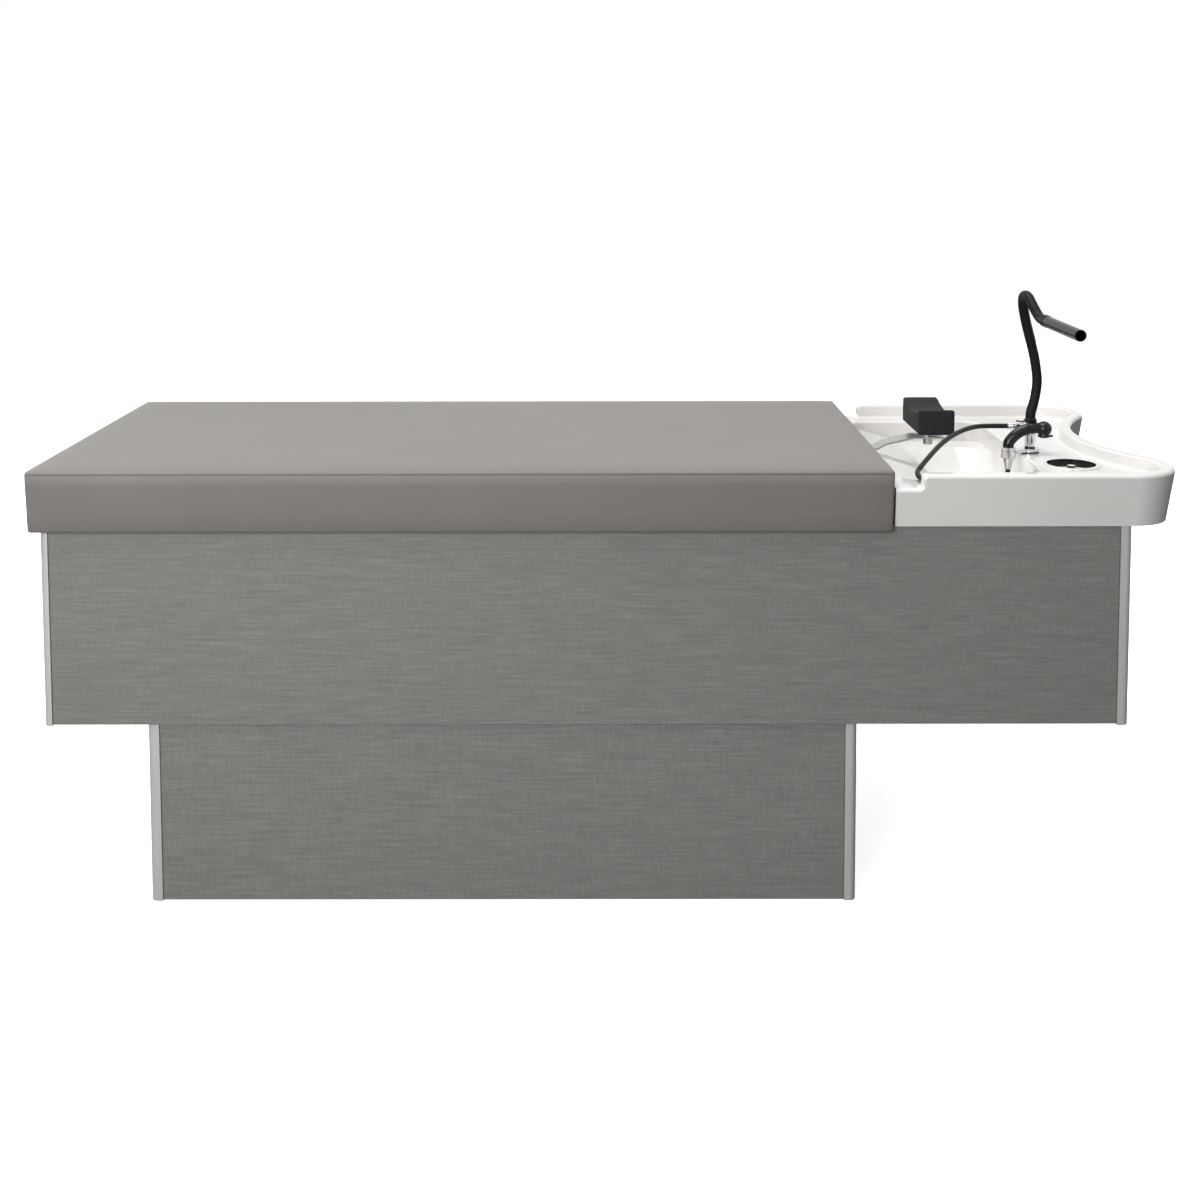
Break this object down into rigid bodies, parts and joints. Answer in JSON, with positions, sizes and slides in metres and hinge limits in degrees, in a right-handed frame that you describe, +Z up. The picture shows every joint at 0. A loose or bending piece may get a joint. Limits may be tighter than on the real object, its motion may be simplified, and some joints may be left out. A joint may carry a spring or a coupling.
{
  "type": "backwash unit",
  "caption": "Salon backwash bed: padded mattress on a stepped laminate cabinet, with a moulded basin at the head end, tap, hand shower, bent spout and neck rest.",
  "frame": {"origin": "on the floor, under the middle of the overall box", "axes": "+X from the foot of the bed to the basin, -Y to the front that the picture shows, +Z up"},
  "size_m": [1.9385, 0.6994, 1.0206],
  "materials": {
    "grey_laminate": "satin laminate with a fine fleck that runs along the board",
    "grey_profile": "satin light grey",
    "board": "raw",
    "leatherette": "satin upholstery",
    "white_shell": "glossy white",
    "chrome": "polished",
    "steel": "brushed",
    "black_plastic": "semi gloss",
    "black_sleeve": "matte",
    "black_foam": "matte moulded foam",
    "black_hose": "smooth",
    "white_plastic": "matte",
    "grey_pipe": "matte",
    "brass": "machined",
    "braid": "braided"
  },
  "bodies": {
    "frame": {"cabinet_front_panel": "grey_laminate", "cabinet_back_panel": "grey_laminate", "cabinet_foot_panel": "grey_laminate", "cabinet_head_panel": "grey_laminate", "plinth_front_panel": "grey_laminate", "plinth_back_panel": "grey_laminate", "plinth_foot_panel": "grey_laminate", "plinth_head_panel": "grey_laminate", "cabinet_corner_posts": "grey_profile", "plinth_corner_posts": "grey_profile", "cabinet_floor": "board", "bulkhead": "board", "mattress_board": "board", "deck_bearers": "board", "plinth_stretchers": "board", "mattress": "leatherette", "basin": "white_shell", "waste_outlet": "chrome", "tap_plate": "chrome", "tap_column": "chrome", "tap_tee": "chrome", "hose_nut": "chrome", "hose_ferrule": "chrome", "neckrest_strip": "steel", "neckrest_screws": "steel", "overflow_cup": "black_plastic", "column_ring": "black_plastic", "tap_gasket": "black_sleeve", "shower_hose": "black_hose", "bottle_trap": "white_plastic", "waste_locknut": "white_plastic", "waste_pipe": "grey_pipe", "waste_spigot": "grey_pipe", "overflow_hose": "grey_pipe", "tap_locknut": "brass", "inlet_block": "brass", "hot_supply_hose": "braid", "cold_supply_hose": "braid"},
    "neck_rest": {"neck_pad": "black_foam", "pad_clamp": "steel"},
    "handset": {"handset_sleeve": "chrome", "handset_handle": "black_plastic", "spray_face": "chrome"},
    "selector": {"spray_selector": "black_plastic"},
    "lever": {"mixer_lever": "black_plastic"},
    "spout": {"spout_collar": "black_plastic", "gooseneck": "black_sleeve", "nozzle_joint": "black_plastic", "nozzle": "black_plastic"},
    "strainer": {"waste_strainer": "steel"},
    "overflow": {"overflow_strainer": "white_plastic", "overflow_knob": "chrome"}
  },
  "joints": [
    {"name": "neckrest_slide", "type": "slide", "parent": "frame", "child": "neck_rest", "axis": [1, 0, 0], "range_m": [-0.012, 0.012]},
    {"name": "handset_lift", "type": "slide", "parent": "frame", "child": "handset", "axis": [0, 0, 1], "range_m": [0, 0.04], "deforming": ["shower_hose"]},
    {"name": "spray_selector_turn", "type": "hinge", "parent": "handset", "child": "selector", "pos_m": [0.805, -0.068, 0.7495], "axis": [0, 0, 1], "range_deg": [-25, 25]},
    {"name": "lever_turn", "type": "hinge", "parent": "frame", "child": "lever", "pos_m": [0.787, -0.0167, 0.765], "axis": [0, 1, 0], "range_deg": [-20, 60]},
    {"name": "spout_swivel", "type": "hinge", "parent": "frame", "child": "spout", "pos_m": [0.787, -0.042, 0.775], "axis": [0, 0, 1], "range_deg": [-100, 100]},
    {"name": "strainer_lift", "type": "slide", "parent": "frame", "child": "strainer", "axis": [0, 0, 1], "range_m": [0, 0.04]},
    {"name": "overflow_strainer_lift", "type": "slide", "parent": "frame", "child": "overflow", "axis": [0, 0, 1], "range_m": [0, 0.03]}
  ]
}
